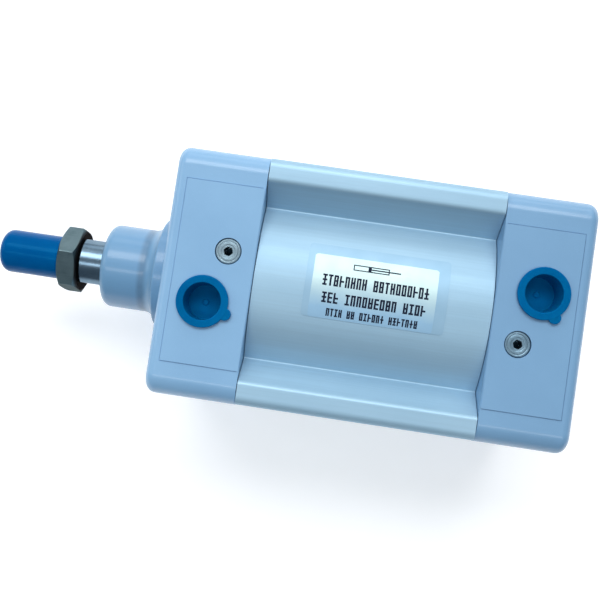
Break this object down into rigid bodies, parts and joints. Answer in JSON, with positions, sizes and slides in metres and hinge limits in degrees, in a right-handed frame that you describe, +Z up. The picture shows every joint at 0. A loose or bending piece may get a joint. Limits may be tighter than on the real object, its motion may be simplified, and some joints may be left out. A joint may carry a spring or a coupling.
{
  "type": "pneumatic cylinder",
  "caption": "Double-acting pneumatic cylinder with a round-bore profile barrel, square end covers, a short stroke and a threaded rod end under a blue cap.",
  "frame": {"origin": "under the middle of the whole object, on the plane that its square covers stand on", "axes": "+X along the cylinder from the rod end to the rear cover, +Z up through the air ports"},
  "size_m": [0.281, 0.112, 0.1139],
  "materials": {
    "cover_paint": "satin",
    "barrel_anodised": "satin",
    "machined_aluminium": "satin",
    "rod_chrome": "polished",
    "zinc_steel": "satin",
    "burnished_steel": "satin",
    "bush_bronze": "satin",
    "polyurethane": "satin",
    "nitrile": "matte",
    "acetal": "matte",
    "magnet": "matte",
    "cap_vinyl": "gloss",
    "plug_polyethylene": "satin",
    "label_film": "gloss"
  },
  "bodies": {
    "housing": {"front_cover": "cover_paint", "rear_cover": "cover_paint", "barrel_profile": "barrel_anodised", "rating_label": "label_film", "rod_guide_bush": "bush_bronze", "rod_wiper_seal": "polyurethane", "front_tube_seal": "nitrile", "rear_tube_seal": "nitrile", "front_cushion_seal": "polyurethane", "rear_cushion_seal": "polyurethane", "front_cover_screw_1": "zinc_steel", "front_cover_screw_2": "zinc_steel", "front_cover_screw_3": "zinc_steel", "front_cover_screw_4": "zinc_steel", "rear_cover_screw_1": "zinc_steel", "rear_cover_screw_2": "zinc_steel", "rear_cover_screw_3": "zinc_steel", "rear_cover_screw_4": "zinc_steel"},
    "piston_seals": {"front_piston_seal": "polyurethane", "rear_piston_seal": "polyurethane", "piston_wear_ring": "acetal"},
    "rod_assembly": {"piston_rod": "rod_chrome", "piston_front_half": "machined_aluminium", "piston_rear_half": "machined_aluminium", "magnet_ring": "magnet", "front_bumper": "nitrile", "rear_bumper": "nitrile", "front_cushion_sleeve": "machined_aluminium", "rear_cushion_spear": "machined_aluminium", "piston_nut": "zinc_steel", "piston_static_seal": "nitrile"},
    "lock_nut": {"rod_lock_nut": "burnished_steel"},
    "thread_cap": {"rod_thread_cap": "cap_vinyl"},
    "front_plug": {"front_port_plug": "plug_polyethylene"},
    "rear_plug": {"rear_port_plug": "plug_polyethylene"},
    "front_needle_seal": {"front_cushion_screw_seal": "nitrile"},
    "front_needle": {"front_cushion_screw": "zinc_steel"},
    "rear_needle_seal": {"rear_cushion_screw_seal": "nitrile"},
    "rear_needle": {"rear_cushion_screw": "zinc_steel"}
  },
  "joints": [
    {"name": "rod_slide", "type": "slide", "parent": "housing", "child": "piston_seals", "axis": [-1, 0, 0], "range_m": [0, 0.05]},
    {"name": "rod_turn", "type": "hinge", "parent": "piston_seals", "child": "rod_assembly", "pos_m": [0, 0, 0.056], "axis": [1, 0, 0], "continuous": true},
    {"name": "lock_nut_turn", "type": "hinge", "parent": "rod_assembly", "child": "lock_nut", "pos_m": [-0.1038, 0, 0.056], "axis": [1, 0, 0], "continuous": true},
    {"name": "cap_pull", "type": "slide", "parent": "rod_assembly", "child": "thread_cap", "axis": [-1, 0, 0], "range_m": [0, 0.034]},
    {"name": "front_plug_pull", "type": "slide", "parent": "housing", "child": "front_plug", "axis": [0, 0, 1], "range_m": [0, 0.016]},
    {"name": "rear_plug_pull", "type": "slide", "parent": "housing", "child": "rear_plug", "axis": [0, 0, 1], "range_m": [0, 0.016]},
    {"name": "front_needle_travel", "type": "slide", "parent": "housing", "child": "front_needle_seal", "axis": [0, 0, 1], "range_m": [-0.00301, 0]},
    {"name": "front_needle_turn", "type": "hinge", "parent": "front_needle_seal", "child": "front_needle", "pos_m": [-0.0189, 0.011, 0.1], "axis": [0, 0, 1], "range_deg": [-1080, 0]},
    {"name": "rear_needle_travel", "type": "slide", "parent": "housing", "child": "rear_needle_seal", "axis": [0, 0, 1], "range_m": [-0.00301, 0]},
    {"name": "rear_needle_turn", "type": "hinge", "parent": "rear_needle_seal", "child": "rear_needle", "pos_m": [0.1119, -0.011, 0.1], "axis": [0, 0, 1], "range_deg": [-1080, 0]}
  ],
  "couplings": [
    {"joint": "front_needle_travel", "follows": "front_needle_turn", "m_per_rad": 0.00015915},
    {"joint": "rear_needle_travel", "follows": "rear_needle_turn", "m_per_rad": 0.00015915}
  ]
}
